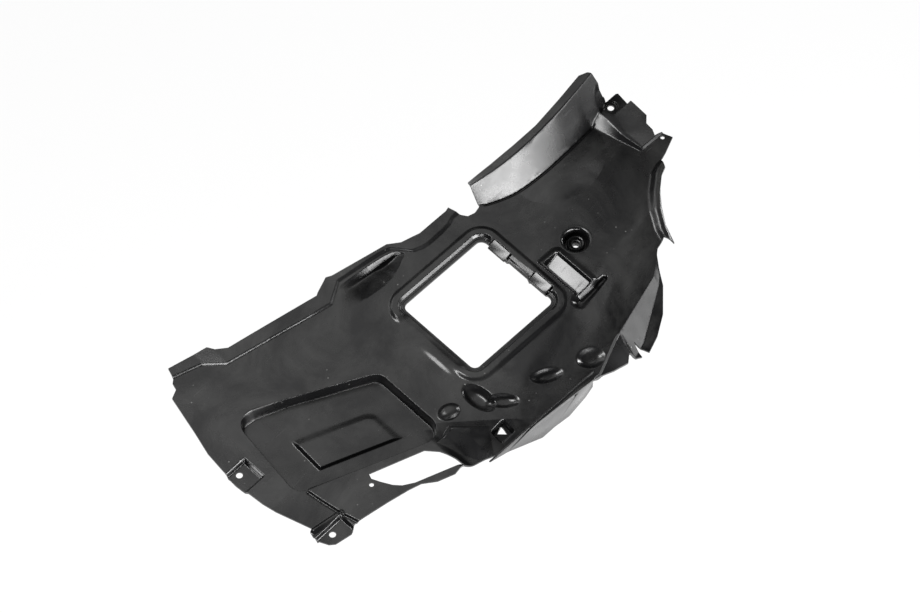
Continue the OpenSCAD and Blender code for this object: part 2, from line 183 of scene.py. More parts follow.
def follow_smoothly(x, line):
    """The y of a line across the plan at x, as the one cubic or quartic that fits its places best."""
    places = np.array(line, dtype=float)
    middle, half = (places[-1, 0] + places[0, 0]) / 2, (places[-1, 0] - places[0, 0]) / 2
    curve = np.polyfit((places[:, 0] - middle) / half, places[:, 1], min(4, len(line) - 2))
    return np.polyval(curve, np.clip((x - middle) / half, -1.05, 1.05))


def smooth_least(a, b, r):
    """The smaller of two heights, rounded where they meet."""
    return (a + b - np.sqrt((a - b) ** 2 + r * r)) / 2


def off_stretch(x, y, a, b):
    """Distance from points to a straight stretch."""
    vx, vy = b[0] - a[0], b[1] - a[1]
    t = np.clip(((x - a[0]) * vx + (y - a[1]) * vy) / (vx * vx + vy * vy), 0.0, 1.0)
    return np.hypot(x - a[0] - t * vx, y - a[1] - t * vy)


def off_edge(x, y, points):
    """Signed distance from points to a closed outline, minus inside."""
    far = np.full_like(x, 1e9)
    inside = np.zeros_like(x, dtype=bool)
    for a, b in zip(points, points[1:] + points[:1]):
        far = np.minimum(far, off_stretch(x, y, a, b))
        if a[1] != b[1]:
            crossing = (b[0] - a[0]) * (y - a[1]) / (b[1] - a[1]) + a[0]
            inside ^= ((a[1] > y) != (b[1] > y)) & (x < crossing)
    return np.where(inside, -far, far)


def off_path(x, y, points):
    """Distance from points to an open line of stretches."""
    far = np.full_like(x, 1e9)
    for a, b in zip(points, points[1:]):
        far = np.minimum(far, off_stretch(x, y, a, b))
    return far


def off_box(x, y, middle, half, r):
    """Signed distance to a rectangle with round corners."""
    qx = np.abs(x - middle[0]) - half[0] + r
    qy = np.abs(y - middle[1]) - half[1] + r
    return np.hypot(np.maximum(qx, 0), np.maximum(qy, 0)) + np.minimum(np.maximum(qx, qy), 0) - r


def shrink(points, r):
    """An outline moved inwards by r, so that a distance r outside it has round corners."""
    moved = []
    for before, here, after in zip(points[-1:] + points[:-1], points, points[1:] + points[:1]):
        u = (Vector(here) - Vector(before)).normalized()
        v = (Vector(after) - Vector(here)).normalized()
        a, b = Vector((-u.y, u.x)), Vector((-v.y, v.x))
        moved.append(tuple(Vector(here) + r * (a + b) / (1.0 + a.dot(b))))
    return moved


def droop(x):
    """How far the two ends of the panel hang down."""
    return -9.0 * (np.maximum(0, -40 - x) / 274) ** 2 - 3.0 * (np.maximum(0, x - 240) / 128) ** 2


def soft_ramp(d, r):
    """0 before 0, then a slope of 1 that starts over the run r."""
    return np.where(d < 0, 0, np.where(d < r, d * d / (2 * r), d - r / 2))


def roll(x, y):
    """How far the web bends down towards the -Y edge."""
    past = soft_ramp(follow(x, CREST_LINE) - y, 14)
    slope = np.interp(x, [-60, 0, 150, 290], [0, 0.07, 0.15, 0.24])
    d = (x - 320) * 0.406 - (y + 70) * 0.914
    return -slope * past - 5.0 * (np.maximum(0, d) / 48) ** 1.5


def south_bend(x, y):
    """The slope between the recess and the lower opening."""
    d = -(x + 80) * 0.66 - (y + 125) * 0.751
    return -0.34 * np.maximum(0, d - 2) * ease(-x / 40) * ease((x + 112) / 20)


def pan(x, y):
    """The large recess and its raised pad, whose +X and +Y sides are long slopes."""
    d = off_edge(x, y, shrink(PAN_CORNERS, PAN_R)) - PAN_R
    pad = np.ones_like(x)
    for a, b, pad_run in zip(PAD_CORNERS, PAD_CORNERS[1:] + PAD_CORNERS[:1], PAD_RUNS):
        vx, vy = b[0] - a[0], b[1] - a[1]
        pad = pad * ease(((y - a[1]) * vx - (x - a[0]) * vy) / math.hypot(vx, vy) / pad_run)
    # The wall grows wider towards -X, but not along the -X side itself
    past_west = x + 265 - 0.13 * (y + 70)
    run = PAN_RUN * (1 + 1.6 * ease((-185 - x) / 60) * ease((past_west - 6) / 14))
    return -PAN_DEPTH * ease(-d / run) + PAD_HEIGHT * pad


def curb(x, y):
    """The raised frame round the window, its inner wall, and the ledge with a low lip."""
    away = off_box(x, y, *WINDOW)
    east_end = ease((x - 40) / 70) * ease((-y - 60) / 50)
    west_side = ease((-10 - x) / 6) * ease((y + 96) / 20) * ease((14 - y) / 14)
    height = CURB_HEIGHT * mix(1, 0.6, east_end) * (1 - west_side)
    up = ease((FOOT_AT - away) / 6)
    down = soft_clip((WALL_AT - away) / mix(3.0, 8, west_side) + 0.5, 0.08)
    lip = soft_clip((LIP_AT - away) / 0.7 + 0.5, 0.15) * (1 - west_side)
    lean = x - WINDOW_MID[0] - HALF_WINDOW[0] + 0.06 * (y + 22)
    bank = 0.4 * soft_clip((7.6 - lean) / 5.2, 0.06) + 0.6 * ease((2.2 - lean) / 1.6)
    down = mix(down, bank, ease((x - 114) / 5) * ease((13 - y) / 8) * ease((y + 94) / 8))
    swell = 1.8 * np.maximum(0, 1 - ((y + 63) / 31) ** 2) * ease((x + 38) / 6.5) * ease((-14 - x) / 16)
    return height * up - (height + LEDGE_DROP) * down - 0.8 * lip + swell * (1 - down)


def lug_bays(x, y):
    """The sunk bays that the hinge lugs stand in."""
    out = np.minimum(off_box(x, y, LUG_MIDDLES[0], LUG_HALF, 1), off_box(x, y, LUG_MIDDLES[1], LUG_HALF, 1))
    away = off_box(x, y, *WINDOW)
    return -3.2 * ease((1.8 - out) / 1.4) * ease((away + 1) / 1.0) * ease((13 - away) / 1.4)


def scoop(x, y):
    """The hollow beside the flange: a wall under its upper edge, and a floor that rises to a crease."""
    start, end = SCOOP_TOP[0][0], SCOOP_TOP[-1][0]
    wall = follow(x, SCOOP_WALL) * (follow(x, SCOOP_TOP) - y)
    floor = follow(x, SCOOP_FLOOR) * (y - follow(x, SCOOP_CREASE))
    low = np.where((x < start) | (x > end), 0, np.maximum(0, smooth_least(wall, floor, 2.0)))
    return -low * ease((x - start) / 45)


def pocket(x, y):
    """The slot with a sloping floor on the window's +X side, and the rim that falls away from it."""
    out = off_box(x, y, *POCKET)
    inside = ease((x - 143) / 3) * ease(-out / 3)
    rim = np.where(x > 141, 4.0 * ease(1 - np.maximum(out, 0) / 9), 0)
    return (-8.5 + 0.42 * (x - 144)) * inside + rim * (1 - inside)


def dart(x, y):
    """The pressed crease beside the pocket, which narrows towards +X."""
    width = mix(12, 4, np.clip((x - 138) / 46, 0, 1))
    return -5.5 * ease(1.1 * (1 - off_stretch(x, y, *DART) / width))


def up_wall(x, y):
    """How far up the arch wall, or up the flange's step, a place is."""
    step = (y - follow(x, FOLD_LINE)) / follow(x, FOLD_RUN)
    wall = (y - follow_smoothly(x, ARCH_FOOT)) / follow_smoothly(x, ARCH_RUN)
    return np.where(x > ARCH_START, wall, step)


def flange(x, y):
    """The raised +Y border."""
    d = y - follow(x, FOLD_LINE)
    step = STEP_HEIGHT * ease(up_wall(x, y))
    return np.where(x > FLANGE_END, 0, step + 0.1 * np.maximum(0, d))


def soft_clip(t, r):
    """0 to 1 with a rounded start and end."""
    low = np.where(t < -r, 0, np.where(t > r, t, (t + r) ** 2 / (4 * r)))
    high = 1 - t
    high = np.where(high < -r, 0, np.where(high > r, high, (high + r) ** 2 / (4 * r)))
    return np.where(t < 0.5, low, 1 - high)


def arch(x, y):
    """The curved wall on the +Y side, with a shallow groove along its foot."""
    height = follow_smoothly(x, ARCH_HEIGHT)
    wall = np.where((x <= FLANGE_END) | (x > ARCH_END), 0, height * soft_clip(up_wall(x, y), 0.05))
    foot = follow_smoothly(x, ARCH_FOOT) - 2.0
    groove = -2.2 * ease(1 - np.abs(y - foot) / 2.8) * ease((x - 150) / 8) * ease((325 - x) / 8)
    return wall + groove


def dome(x, y):
    """The low oval swelling in front of the arch wall."""
    q = np.hypot((x - 255) / 63, (y - 27) / 48)
    return np.where(q > 1, 0, 5.5 * (1 - q * q)) * (1 - np.clip(up_wall(x, y), 0, 1))


def plate(x, y):
    """The raised plate at the +X end, with the sunk seat of its screw hole."""
    d = x - np.interp(y, [-29, -17, 31, 45], [334, 331, 318.5, 315])
    run = np.interp(y, [-29, 0, 33], [3, 6, 17])
    slope = 0.75 * soft_clip(d / run, 0.08) + 0.25 * ease(d / (2 * run))
    up = np.interp(y, [-31, -28, 24], [0, 3.5, 10]) * slope * ease((x - 310) / 4)
    up = up * (1 - np.clip(up_wall(x, y), 0, 1))
    ring = np.hypot(x - TAB_HOLES[2][0], y - TAB_HOLES[2][1])
    seat = off_box(x, y, *PLATE_SEAT)
    return up - 8 * ease(-seat / 2.5) - 1.8 * ease((9 - ring) / 1.5)


def east_flange(x, y):
    """The turned-up border of the +X side."""
    d = 12 - off_path(x, y, RAISED_BORDER)
    up = 7 * ease(d / 11) * ease((x - 262) / 12) * ease((-52 - y) / 10)
    return np.where((x < 262) | (y > -52), 0, up)


def east_wall(x, y):
    """The steep wall past the fold on the -Y side."""
    d = follow(x, EAST_FOLD) - y
    drop = np.interp(x, [78, 90, 143, 149, 170, 229, 256], [5, 8, 12, 27, 27, 9, 0])
    run = np.interp(x, [78, 143, 149, 170, 229, 256], [22, 24, 26, 25, 9, 6])
    step = np.interp(x, [78, 86, 138, 146], [0, 3, 3, 0])
    return np.where(x < 78, 0, -drop * soft_clip(d / run, 0.06) - step * ease(d / 2.5))


def tab_seats(x, y):
    """The sunk seats of the two tabs at the -X end, and the ridge between them."""
    seat = ease(-off_box(x, y, *TAB_SEAT) / 4.6)
    corner = ease((-123 - y) / 3) * ease((-247 - x) / 3)
    ridge = 2.2 * ease(1 - off_stretch(x, y, *RIDGE) / 5)
    return -6 * seat - 6 * corner + ridge


def grooves(x, y):
    """The shallow line across the -X end and the drain's recess."""
    line = off_path(x, y, END_GROOVE)
    cup = off_box(x, y, *DRAIN_CUP)
    return -2.2 * ease(1 - line / 3.0) - 7 * ease(-cup / 3.5)


def dents(x, y):
    total = np.zeros_like(x)
    for (mx, my), half_length, half_width, turn, height in DENTS:
        c, s = math.cos(math.radians(turn)), math.sin(math.radians(turn))
        q = np.hypot(((x - mx) * c + (y - my) * s) / half_length,
                     ((y - my) * c - (x - mx) * s) / half_width)
        total += height * ease(1 - q * q)
    return total


def block(x, y):
    """The faceted block between the lower opening and the drain: planes that meet under a flat top."""
    low = np.full_like(x, BLOCK_HEIGHT)
    for (a, slope), (b, _) in zip(BLOCK_FOOT, BLOCK_FOOT[1:] + BLOCK_FOOT[:1]):
        vx, vy = b[0] - a[0], b[1] - a[1]
        low = np.minimum(low, slope * ((y - a[1]) * vx - (x - a[0]) * vy) / math.hypot(vx, vy))
    return np.maximum(low, 0)


def form(x, y):
    """Height of the sheet's outer face over the plan, in millimetres."""
    return (droop(x) + roll(x, y) + south_bend(x, y) + pan(x, y) + curb(x, y) + lug_bays(x, y)
            + scoop(x, y) + pocket(x, y) + dart(x, y) + flange(x, y) + arch(x, y) + dome(x, y)
            + plate(x, y) + east_flange(x, y) + east_wall(x, y) + tab_seats(x, y) + grooves(x, y)
            + block(x, y) + dents(x, y))


def under(x, y, wall):
    """Height of the inner face: the wall is measured square to the slope."""
    step = 1.2
    z = form(x, y)
    gx = (form(x + step, y) - z) / step
    gy = (form(x, y + step) - z) / step
    return z - wall * np.minimum(np.sqrt(gx * gx + gy * gy + 1), 5)


def new_piece(name, bm, material, crease=48):
    """Makes a mesh object of a bmesh whose places are in millimetres on the plan."""
    bmesh.ops.transform(bm, matrix=Matrix.Translation(PLAN_ORIGIN) @ Matrix.Scale(MM, 4), verts=bm.verts)
    bmesh.ops.recalc_face_normals(bm, faces=bm.faces)
    mesh = bpy.data.meshes.new(name)
    bm.to_mesh(mesh)
    bm.free()
    piece = bpy.data.objects.new(name, mesh)
    bpy.context.scene.collection.objects.link(piece)
    mesh.materials.append(material)
    mesh.shade_smooth()
    mesh.set_sharp_from_angle(angle=math.radians(crease))
    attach(piece, "root")
    return piece


def prism(bm, points, low, high):
    """Adds an upright prism on an outline."""
    ring = [bm.verts.new((x, y, low)) for x, y in points]
    face = bm.faces.new(ring)
    grown = bmesh.ops.extrude_face_region(bm, geom=[face])
    top = [v for v in grown["geom"] if isinstance(v, bmesh.types.BMVert)]
    bmesh.ops.translate(bm, vec=(0, 0, high - low), verts=top)


def round_prism(bm, middle, half, r, low, high):
    """Adds an upright rounded box, its corners made by a vertex bevel."""
    made = bmesh.ops.create_grid(bm, x_segments=1, y_segments=1, size=1,
                                 matrix=Matrix.Translation((middle[0], middle[1], low))
                                 @ Matrix.Diagonal((half[0], half[1], 1, 1)))
    bmesh.ops.bevel(bm, geom=made["verts"], offset=r, segments=10, profile=0.5, affect="VERTICES",
                    material=-1)
    face = [f for f in bm.faces if all(abs(v.co.z - low) < 1e-6 for v in f.verts)][-1]
    grown = bmesh.ops.extrude_face_region(bm, geom=[face])
    top = [v for v in grown["geom"] if isinstance(v, bmesh.types.BMVert)]
    bmesh.ops.translate(bm, vec=(0, 0, high - low), verts=top)


def drill(bm, at, r, low, high):
    """Adds an upright cylinder that is cut out as a hole."""
    bmesh.ops.create_cone(bm, cap_ends=True, segments=40, radius1=r, radius2=r, depth=high - low,
                          matrix=Matrix.Translation((at[0], at[1], (low + high) / 2)))


def scratch_object(bm):
    """A short-lived object that only carries a mesh into a boolean."""
    bmesh.ops.recalc_face_normals(bm, faces=bm.faces)
    mesh = bpy.data.meshes.new("scratch")
    bm.to_mesh(mesh)
    bm.free()
    piece = bpy.data.objects.new("scratch", mesh)
    bpy.context.scene.collection.objects.link(piece)
    return piece


def trim(blank, cutter, operation):
    """The blank's mesh after an exact boolean with the cutter."""
    cut = blank.modifiers.new("cut", "BOOLEAN")
    cut.object = cutter
    cut.operation = operation
    cut.solver = "EXACT"
    bpy.context.view_layer.update()
    graph = bpy.context.evaluated_depsgraph_get()
    mesh = bpy.data.meshes.new_from_object(blank.evaluated_get(graph))
    blank.modifiers.remove(cut)
    blank.data = mesh
    bpy.data.objects.remove(cutter)


def sheet_blank():
    """A flat two-sided slab over the whole plan, one unit thick each way."""
    corner = np.array((-331.3, -221.7))
    cells = [math.ceil(710 / CELL), math.ceil(385 / CELL)]
    half = np.array(cells) * CELL / 2
    middle = corner + half
    bm = bmesh.new()
    bmesh.ops.create_grid(bm, x_segments=cells[0], y_segments=cells[1], size=1,
                          matrix=Matrix.Translation((middle[0], middle[1], 1))
                          @ Matrix.Diagonal((half[0], half[1], 1, 1)))
    grown = bmesh.ops.extrude_face_region(bm, geom=bm.faces[:])
    lower = [v for v in grown["geom"] if isinstance(v, bmesh.types.BMVert)]
    bmesh.ops.translate(bm, vec=(0, 0, -2), verts=lower)
    return scratch_object(bm)


def form_normals(x, y):
    """True normals of the form, as rows."""
    step = 0.4
    gx = (form(x + step, y) - form(x - step, y)) / (2 * step)
    gy = (form(x, y + step) - form(x, y - step)) / (2 * step)
    long = np.sqrt(gx * gx + gy * gy + 1)
    return np.stack([-gx / long, -gy / long, 1 / long], axis=1)


def refine(bm, rounds, least):
    """Splits the slab's upper edges where the form bends between their ends."""
    for _ in range(rounds):
        edges = [e for e in bm.edges if e.verts[0].co.z > 0 and e.verts[1].co.z > 0
                 and e.calc_length() > 2 * least]
        ends = np.array([(e.verts[0].co.x, e.verts[0].co.y, e.verts[1].co.x, e.verts[1].co.y)
                         for e in edges])
        ax, ay, bx, by = ends.T
        mx, my = (ax + bx) / 2, (ay + by) / 2
        sag = np.abs(form(mx, my) - (form(ax, ay) + form(bx, by)) / 2)
        middle = form_normals(mx, my)
        turn = np.minimum((middle * form_normals(ax, ay)).sum(axis=1),
                          (middle * form_normals(bx, by)).sum(axis=1))
        split = [e for e, bent in zip(edges, (sag > 0.08) | (turn < math.cos(math.radians(7)))) if bent]
        if not split:
            break
        bmesh.ops.subdivide_edges(bm, edges=split, cuts=1)
        bmesh.ops.triangulate(bm, faces=[f for f in bm.faces if len(f.verts) > 3])


def form_sheet(bm, wall):
    """Moves the slab's two faces to the sheet's outer and inner heights."""
    places = np.array([v.co for v in bm.verts])
    x, y = places[:, 0].copy(), places[:, 1].copy()
    share = (places[:, 2] + 1) / 2
    for v, z in zip(bm.verts, mix(under(x, y, wall), form(x, y), share)):
        v.co.z = z


def set_form_normals(mesh):
    """Gives the sheet's two faces the true normals of its form, and leaves the cut edges flat."""
    count = len(mesh.vertices)
    flat = np.empty(count * 3)
    mesh.vertices.foreach_get("co", flat)
    places = flat.reshape(-1, 3) / MM - np.array(PLAN_ORIGIN) / MM
    x, y, z = places[:, 0], places[:, 1], places[:, 2]
    upper = z > form(x, y) - 0.6
    true = form_normals(x, y)
    corners = np.empty(len(mesh.loops), dtype=np.int32)
    mesh.loops.foreach_get("vertex_index", corners)
    normals = np.zeros((len(corners), 3))
    for face in mesh.polygons:
        at = corners[face.loop_start:face.loop_start + face.loop_total]
        tops = upper[at]
        if tops.all() and face.normal.z > 0:
            normals[face.loop_start:face.loop_start + face.loop_total] = true[at]
        elif not tops.any() and face.normal.z < 0:
            normals[face.loop_start:face.loop_start + face.loop_total] = -true[at]
        else:
            normals[face.loop_start:face.loop_start + face.loop_total] = face.normal
    mesh.normals_split_custom_set(normals.tolist())


class LinerSizes(bpy.types.PropertyGroup):
    wall: bpy.props.FloatProperty(name="Wall", description="Thickness of the sheet in millimetres",
                                  default=2.5, min=1.8, max=3.5)
    tab_hole: bpy.props.FloatProperty(name="Tab hole", description="Radius of the tab holes in millimetres",
                                      default=4.0, min=2.5, max=5.0)
    small_hole: bpy.props.FloatProperty(name="Small hole",
                                        description="Radius of the small holes in millimetres",
                                        default=2.8, min=1.5, max=4.0)
    cup_radius: bpy.props.FloatProperty(name="Cup", description="Radius of the screw cup in millimetres",
                                        default=17.0, min=13.0, max=21.0)
    lug_length: bpy.props.FloatProperty(name="Lug", description="Length of a hinge lug in millimetres",
                                        default=26.0, min=15.0, max=34.0)
    side_depth: bpy.props.FloatProperty(name="Side wall",
                                        description="Depth of the side wall in millimetres",
                                        default=54.0, min=35.0, max=70.0)


class LinerFinish(bpy.types.PropertyGroup):
    colour: bpy.props.FloatVectorProperty(name="Plastic", description="Colour of the moulded plastic",
                                          subtype="COLOR", default=(0.004, 0.004, 0.0043), min=0, max=1)
    # The dust colour also tints the film on level faces. The film is kept off steep walls, so their darker
    # tone is painted shade.
    dust: bpy.props.FloatVectorProperty(name="Dust", description="Colour of the dust and pale scuffs",
                                        subtype="COLOR", default=(0.30, 0.30, 0.29), min=0, max=1)
    roughness: bpy.props.FloatProperty(name="Roughness", description="Roughness of clean plastic",
                                       default=0.25, min=0, max=1, subtype="FACTOR")
    floor: bpy.props.FloatVectorProperty(name="Floor", description="Colour of the floor and backdrop",
                                         subtype="COLOR", default=(0.9, 0.9, 0.9), min=0, max=1)


def socket(group, name, kind, inward, default=None):
    made = group.interface.new_socket(name, in_out="INPUT" if inward else "OUTPUT", socket_type=kind)
    if default is not None:
        made.default_value = default


def noise(nodes, links, vector, scale, detail=2.0, roughness=0.5, distortion=0.0):
    """The value of a noise texture."""
    made = nodes.new("ShaderNodeTexNoise")
    links.new(vector, made.inputs["Vector"])
    for name, value in (("Scale", scale), ("Detail", detail), ("Roughness", roughness),
                        ("Distortion", distortion)):
        made.inputs[name].default_value = value
    return made.outputs["Fac"]


def rescale(nodes, links, value, low, high, to_low=0.0, to_high=1.0):
    """A value's range from low to high, stretched and held to another range."""
    made = nodes.new("ShaderNodeMapRange")
    links.new(value, made.inputs["Value"])
    for name, end in (("From Min", low), ("From Max", high), ("To Min", to_low), ("To Max", to_high)):
        made.inputs[name].default_value = end
    return made.outputs["Result"]


def combine(nodes, links, operation, a, b):
    """Two values put together by a sum, a product or the like."""
    made = nodes.new("ShaderNodeMath")
    made.operation = operation
    links.new(a, made.inputs[0])
    links.new(b, made.inputs[1])
    return made.outputs["Value"]


def grain_group():
    """Node group: a fine moulded grain as a height, and a slow change of gloss as a mask."""
    group = bpy.data.node_groups.new("moulded_grain", "ShaderNodeTree")
    socket(group, "Scale", "NodeSocketFloat", True, 900.0)
    socket(group, "Height", "NodeSocketFloat", False)
    socket(group, "Cloud", "NodeSocketFloat", False)
    nodes, links = group.nodes, group.links
    ends = nodes.new("NodeGroupInput"), nodes.new("NodeGroupOutput")
    place = nodes.new("ShaderNodeTexCoord").outputs["Object"]
    grain = nodes.new("ShaderNodeTexNoise")
    grain.inputs["Detail"].default_value = 3.0
    links.new(place, grain.inputs["Vector"])
    links.new(ends[0].outputs["Scale"], grain.inputs["Scale"])
    links.new(grain.outputs["Fac"], ends[1].inputs["Height"])
    links.new(noise(nodes, links, place, 16.0, 5.0), ends[1].inputs["Cloud"])
    return group


def speck_group():
    """Node group: masks of small dust specks, of thin scuffs, and of a random dust film held to level faces
    so that steep walls, dents and hollows stay darker as painted shade.
    """
    group = bpy.data.node_groups.new("dust_scuffs_and_wall_shade", "ShaderNodeTree")
    socket(group, "Amount", "NodeSocketFloat", True, 0.5)
    socket(group, "Specks", "NodeSocketFloat", False)
    socket(group, "Scuffs", "NodeSocketFloat", False)
    socket(group, "Film_and_wall_shade", "NodeSocketFloat", False)
    nodes, links = group.nodes, group.links
    ends = nodes.new("NodeGroupInput"), nodes.new("NodeGroupOutput")
    coordinates = nodes.new("ShaderNodeTexCoord")
    place = coordinates.outputs["Object"]
    cells = nodes.new("ShaderNodeTexVoronoi")
    cells.inputs["Scale"].default_value = 90.0
    links.new(place, cells.inputs["Vector"])
    small = rescale(nodes, links, cells.outputs["Distance"], 0.10, 0.05)
    where = rescale(nodes, links, noise(nodes, links, place, 22.0), 0.52, 0.66)
    both = combine(nodes, links, "MULTIPLY", small, where)
    specks = combine(nodes, links, "MULTIPLY", both, ends[0].outputs["Amount"])
    links.new(specks, ends[1].inputs["Specks"])
    stretch = nodes.new("ShaderNodeMapping")
    stretch.inputs["Rotation"].default_value = (0, 0, 0.6)
    stretch.inputs["Scale"].default_value = (18.0, 160.0, 40.0)
    links.new(place, stretch.inputs["Vector"])
    streaks = noise(nodes, links, stretch.outputs["Vector"], 1.0, 4.0)
    links.new(rescale(nodes, links, streaks, 0.66, 0.78), ends[1].inputs["Scuffs"])
    film = rescale(nodes, links, noise(nodes, links, place, 11.0, 9.0, 0.68, 0.6), 0.40, 0.72, 0.0, 0.10)
    # The film is real random dust tone, but the mask below keeps it to level faces so that walls, dents and
    # hollows stay darker: painted shade.
    split = nodes.new("ShaderNodeSeparateXYZ")
    links.new(coordinates.outputs["Normal"], split.inputs["Vector"])
    level = rescale(nodes, links, split.outputs["Z"], 0.80, 0.96)
    links.new(combine(nodes, links, "MULTIPLY", film, level), ends[1].inputs["Film_and_wall_shade"])
    return group


def plastic_material():
    """Satin black moulded plastic with a fine grain, dust specks, scuffs and a dust film, the film kept off
    steep faces as painted shade.
    """
    finish = bpy.context.scene.liner_finish
    material = bpy.data.materials.new("moulded_plastic")
    material.use_nodes = True
    nodes, links = material.node_tree.nodes, material.node_tree.links
    shader = nodes["Principled BSDF"]
    shader.inputs["IOR"].default_value = 1.5
    grain = nodes.new("ShaderNodeGroup")
    grain.node_tree = grain_group()
    specks = nodes.new("ShaderNodeGroup")
    specks.node_tree = speck_group()
    paint = nodes.new("ShaderNodeMix")
    paint.data_type = "RGBA"
    paint.inputs["A"].default_value = (*finish.colour, 1)
    paint.inputs["B"].default_value = (*finish.dust, 1)
    # Specks are real dust. The film's share is dust on level faces and painted shade on steep walls, where
    # it is withheld.
    dust_and_wall_shade = combine(nodes, links, "MAXIMUM", specks.outputs["Specks"], specks.outputs["Film_and_wall_shade"])
    links.new(dust_and_wall_shade, paint.inputs["Factor"])
    links.new(paint.outputs["Result"], shader.inputs["Base Color"])
    gloss = rescale(nodes, links, grain.outputs["Cloud"], 0.3, 0.7, finish.roughness - 0.08,
                    finish.roughness + 0.10)
    rough = nodes.new("ShaderNodeMath")
    rough.operation = "MULTIPLY_ADD"
    rough.inputs[1].default_value = 0.12
    links.new(specks.outputs["Scuffs"], rough.inputs[0])
    links.new(gloss, rough.inputs[2])
    links.new(rough.outputs["Value"], shader.inputs["Roughness"])
    bump = nodes.new("ShaderNodeBump")
    bump.inputs["Strength"].default_value = 0.06
    bump.inputs["Distance"].default_value = 0.0004
    links.new(grain.outputs["Height"], bump.inputs["Height"])
    links.new(bump.outputs["Normal"], shader.inputs["Normal"])
    return material


def liner_plastic():
    return bpy.data.materials.get("moulded_plastic") or plastic_material()


class LINER_OT_sheet(bpy.types.Operator):
    """Build the formed sheet of the liner"""

    bl_idname = "liner.sheet"
    bl_label = "Formed sheet"

    def execute(self, context):
        sizes = context.scene.liner_sizes
        blank = sheet_blank()
        outline = bmesh.new()
        prism(outline, PANEL_EDGE, -5, 5)
        trim(blank, scratch_object(outline), "INTERSECT")
        cuts = bmesh.new()
        round_prism(cuts, *WINDOW, -6, 6)
        prism(cuts, LOWER_OPENING, -6, 6)
        prism(cuts, DRAIN_OPENING, -6, 6)
        drill(cuts, BOSS_AT, sizes.cup_radius + 0.4, -6, 6)
        for at in TAB_HOLES:
            drill(cuts, at, sizes.tab_hole, -6, 6)
        drill(cuts, EAST_HOLE, sizes.tab_hole * 0.65, -6, 6)
        drill(cuts, OPENING_HOLE, sizes.small_hole, -6, 6)
        trim(blank, scratch_object(cuts), "DIFFERENCE")
        bm = bmesh.new()
        bm.from_mesh(blank.data)
        bpy.data.objects.remove(blank)
        if len(bm.faces) < 1000:
            raise RuntimeError("the sheet came out empty")
        bmesh.ops.triangulate(bm, faces=bm.faces)
        refine(bm, 3, 0.4)
        form_sheet(bm, sizes.wall)
        piece = new_piece("liner_sheet", bm, liner_plastic())
        set_form_normals(piece.data)
        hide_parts("liner_panel")
        return {"FINISHED"}


class LINER_OT_screw_cup(bpy.types.Operator):
    """Turn the screw boss's cup, collar and sleeve"""

    bl_idname = "liner.screw_cup"
    bl_label = "Screw cup"

    def execute(self, context):
        r = context.scene.liner_sizes.cup_radius
        floor = -CUP_DEPTH
        hole = 4.2
        profile = [(hole, floor - 9), (hole + 2.2, floor - 9), (hole + 2.5, floor - 2.5),
                   (r - 5, floor - 2.5), (r - 1.4, floor + 1.0), (r + 1.6, -3.2), (r + 3.0, -0.8),
                   (r + 2.8, 0.2), (r + 1.4, 0.5), (r - 0.2, 0.0), (r - 1.4, -1.1), (r - 2.5, -2.9),
                   (r - 3.2, -5.2), (r - 4.0, floor + 3.4), (r - 4.4, floor + 1.0), (r - 5.2, floor + 0.2),
                   (11.0, floor + 0.3), (10.6, floor + 2.6), (10.0, floor + 4.2), (9.0, floor + 4.9),
                   (7.8, floor + 4.6), (6.9, floor + 3.4), (6.5, floor + 2.2), (5.6, floor + 1.6),
                   (hole + 0.3, floor + 1.5), (hole, floor + 1.0)]
        bm = bmesh.new()
        ring = [bm.verts.new((BOSS_AT[0] + x, BOSS_AT[1], z)) for x, z in profile]
        loop = [bm.edges.new(pair) for pair in zip(ring, ring[1:] + ring[:1])]
        bmesh.ops.spin(bm, geom=ring + loop, cent=(BOSS_AT[0], BOSS_AT[1], 0), axis=(0, 0, 1),
                       angle=2 * math.pi, steps=72, use_merge=True)
        new_piece("screw_cup", bm, liner_plastic())
        return {"FINISHED"}


class LINER_OT_hinge_lugs(bpy.types.Operator):
    """Build the two lugs that held the window's flap"""

    bl_idname = "liner.hinge_lugs"
    bl_label = "Hinge lugs"

    def execute(self, context):
        length = context.scene.liner_sizes.lug_length
        # Lug looked at along Y: a sloping top, a nose over the opening, and back under to the bay's floor
        hook = [(5.6, 5.0), (-5.4, 0.4), (-6.0, -0.8), (-5.6, -2.4), (-4.6, -3.0), (-3.4, -2.6),
                (-2.4, -1.6), (2.0, -1.0), (2.6, -2.0), (2.6, -7.0), (5.6, -7.0)]
        for name, (x, y) in zip(("hinge_lug_south", "hinge_lug_north"), LUG_MIDDLES):
            bm = bmesh.new()
            ring = [bm.verts.new((x + along, y - length / 2, z)) for along, z in hook]
            face = bm.faces.new(ring)
            grown = bmesh.ops.extrude_face_region(bm, geom=[face])
            end = [v for v in grown["geom"] if isinstance(v, bmesh.types.BMVert)]
            bmesh.ops.translate(bm, vec=(0, length, 0), verts=end)
            edges = [e for e in bm.edges if e.calc_face_angle(0) > 0.4]
            bmesh.ops.bevel(bm, geom=edges, offset=0.45, segments=2, profile=0.5, affect="EDGES",
                            material=-1)
            new_piece(name, bm, liner_plastic(), 20)
        return {"FINISHED"}


